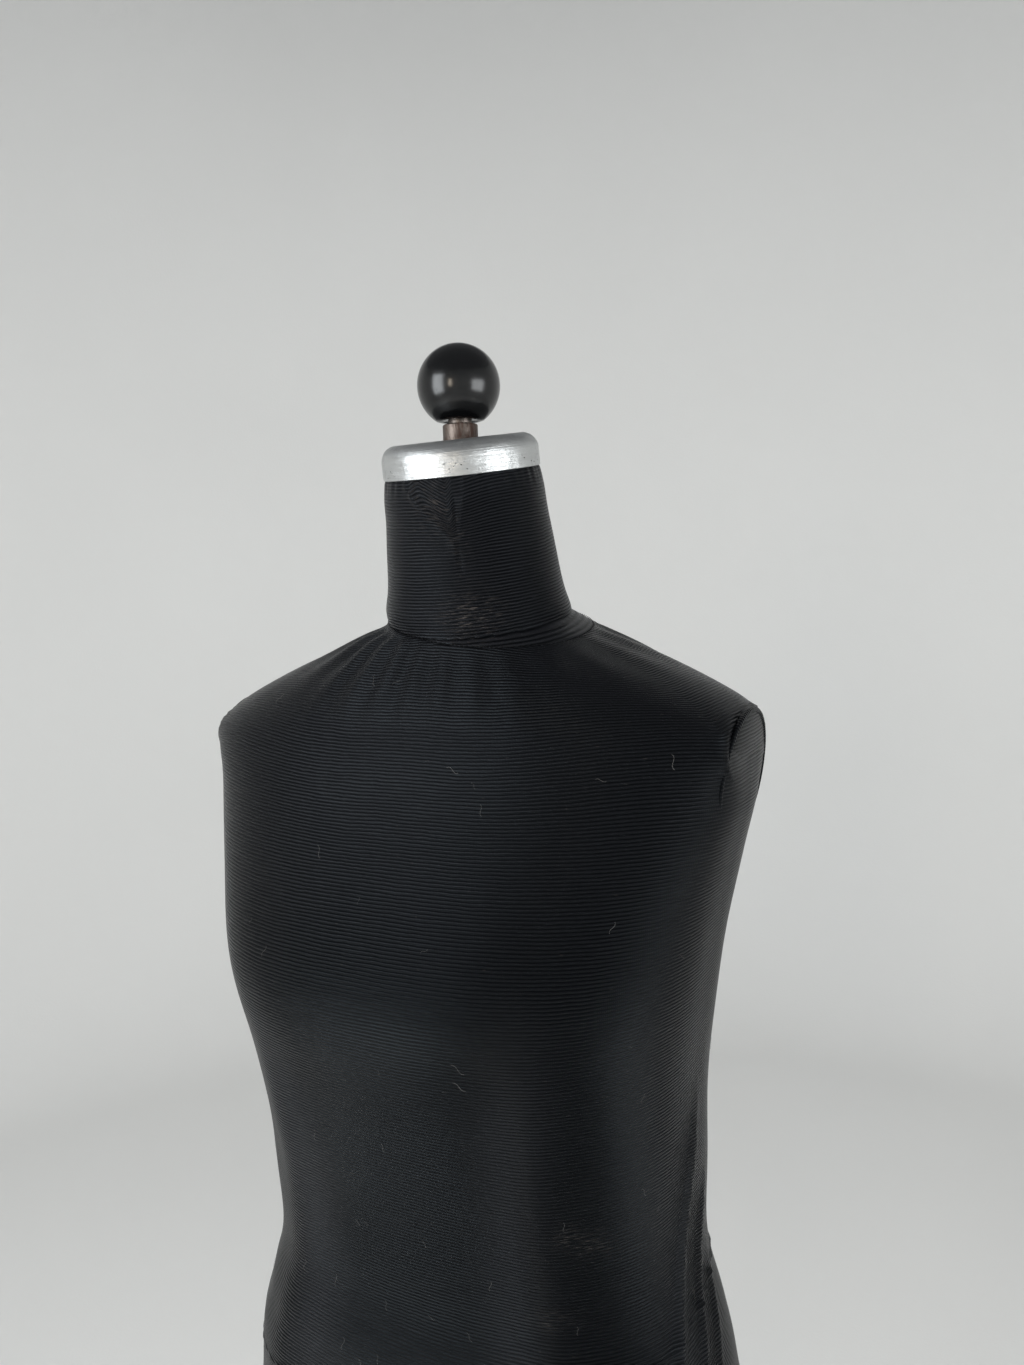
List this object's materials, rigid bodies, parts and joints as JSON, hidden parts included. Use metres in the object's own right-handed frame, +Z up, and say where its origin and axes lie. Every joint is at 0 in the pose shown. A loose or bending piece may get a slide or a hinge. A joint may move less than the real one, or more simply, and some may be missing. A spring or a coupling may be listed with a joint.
{
  "type": "dress form mannequin",
  "caption": "Torso dress form covered in black rib knit, with a metal neck cap and ball knob, that turns and rises on a round-based pole stand.",
  "frame": {"origin": "on the floor, on the pole's centre line", "axes": "+Z up; the form faces -Y and its own left side is at +X"},
  "size_m": [0.36, 0.36, 1.5904],
  "materials": {
    "black_phenolic": "polished black ball",
    "dark_steel": "dark threaded steel",
    "rusty_pipe": "bare steel pipe with a little rust",
    "spun_aluminium": "spun, dulled, with small pits",
    "black_felt": "black felt",
    "rib_knit": "black horizontal rib knit",
    "moulded_shell": "moulded, matt",
    "beech": "plain turned beech",
    "plywood": "plywood, sanded",
    "nylon": "natural nylon",
    "zinc_steel": "zinc plated",
    "stand_steel": "drawn tube, satin",
    "black_enamel": "black enamel, semi-gloss",
    "raw_iron": "raw casting",
    "black_rubber": "moulded rubber",
    "black_plastic": "moulded, matt black",
    "brass_brad": "brass",
    "cotton_tape": "black cotton tape"
  },
  "bodies": {
    "stand": {"base_feet": "black_rubber", "base_weight": "raw_iron", "base_cover": "black_enamel", "base_bolt": "zinc_steel", "base_washer": "zinc_steel", "base_hub": "black_enamel", "stand_tube": "stand_steel", "tube_bush": "nylon", "clamp_collar": "black_enamel"},
    "clamp_screw": {"clamp_screw": "zinc_steel"},
    "clamp_knob": {"clamp_knob": "black_plastic"},
    "pole": {"bust_pole": "rusty_pipe", "pole_foot": "nylon", "pole_top_plug": "dark_steel", "knob_stud": "dark_steel", "thrust_washer": "nylon", "pole_collar": "black_enamel", "collar_screw": "dark_steel"},
    "knob_bush": {"knob_insert": "dark_steel"},
    "knob": {"ball_knob": "black_phenolic"},
    "form": {"neck_cap": "spun_aluminium", "cap_brads": "brass_brad", "neck_washer": "black_felt", "neck_cover": "rib_knit", "neck_block": "beech", "neck_bush": "nylon", "neck_screws": "zinc_steel", "torso_cover": "rib_knit", "front_shell": "moulded_shell", "back_shell": "moulded_shell", "left_side_strip": "plywood", "right_side_strip": "plywood", "left_arm_plate": "rib_knit", "right_arm_plate": "rib_knit", "bottom_board": "plywood", "board_screws": "zinc_steel", "hem_band": "cotton_tape", "hem_tacks": "zinc_steel", "bottom_flange": "black_enamel", "flange_bush": "nylon", "flange_screws": "zinc_steel"}
  },
  "joints": [
    {"name": "height_slide", "type": "slide", "parent": "stand", "child": "pole", "axis": [0, 0, 1], "range_m": [-0.1, 0.2]},
    {"name": "form_swivel", "type": "hinge", "parent": "pole", "child": "form", "pos_m": [0, 0, 1], "axis": [0, 0, 1], "continuous": true},
    {"name": "knob_rise", "type": "slide", "parent": "pole", "child": "knob_bush", "axis": [0, 0, 1], "range_m": [0, 0.01051]},
    {"name": "knob_turn", "type": "hinge", "parent": "knob_bush", "child": "knob", "pos_m": [0, 0, 1.565], "axis": [0, 0, 1], "range_deg": [0, 2160]},
    {"name": "clamp_travel", "type": "slide", "parent": "stand", "child": "clamp_screw", "axis": [1, 0, 0], "range_m": [0, 0.00601]},
    {"name": "clamp_turn", "type": "hinge", "parent": "clamp_screw", "child": "clamp_knob", "pos_m": [0.05, 0, 0.602], "axis": [1, 0, 0], "range_deg": [0, 1728]}
  ],
  "couplings": [
    {"joint": "knob_rise", "follows": "knob_turn", "m_per_rad": 0.00027852},
    {"joint": "clamp_travel", "follows": "clamp_turn", "m_per_rad": 0.00019894}
  ]
}
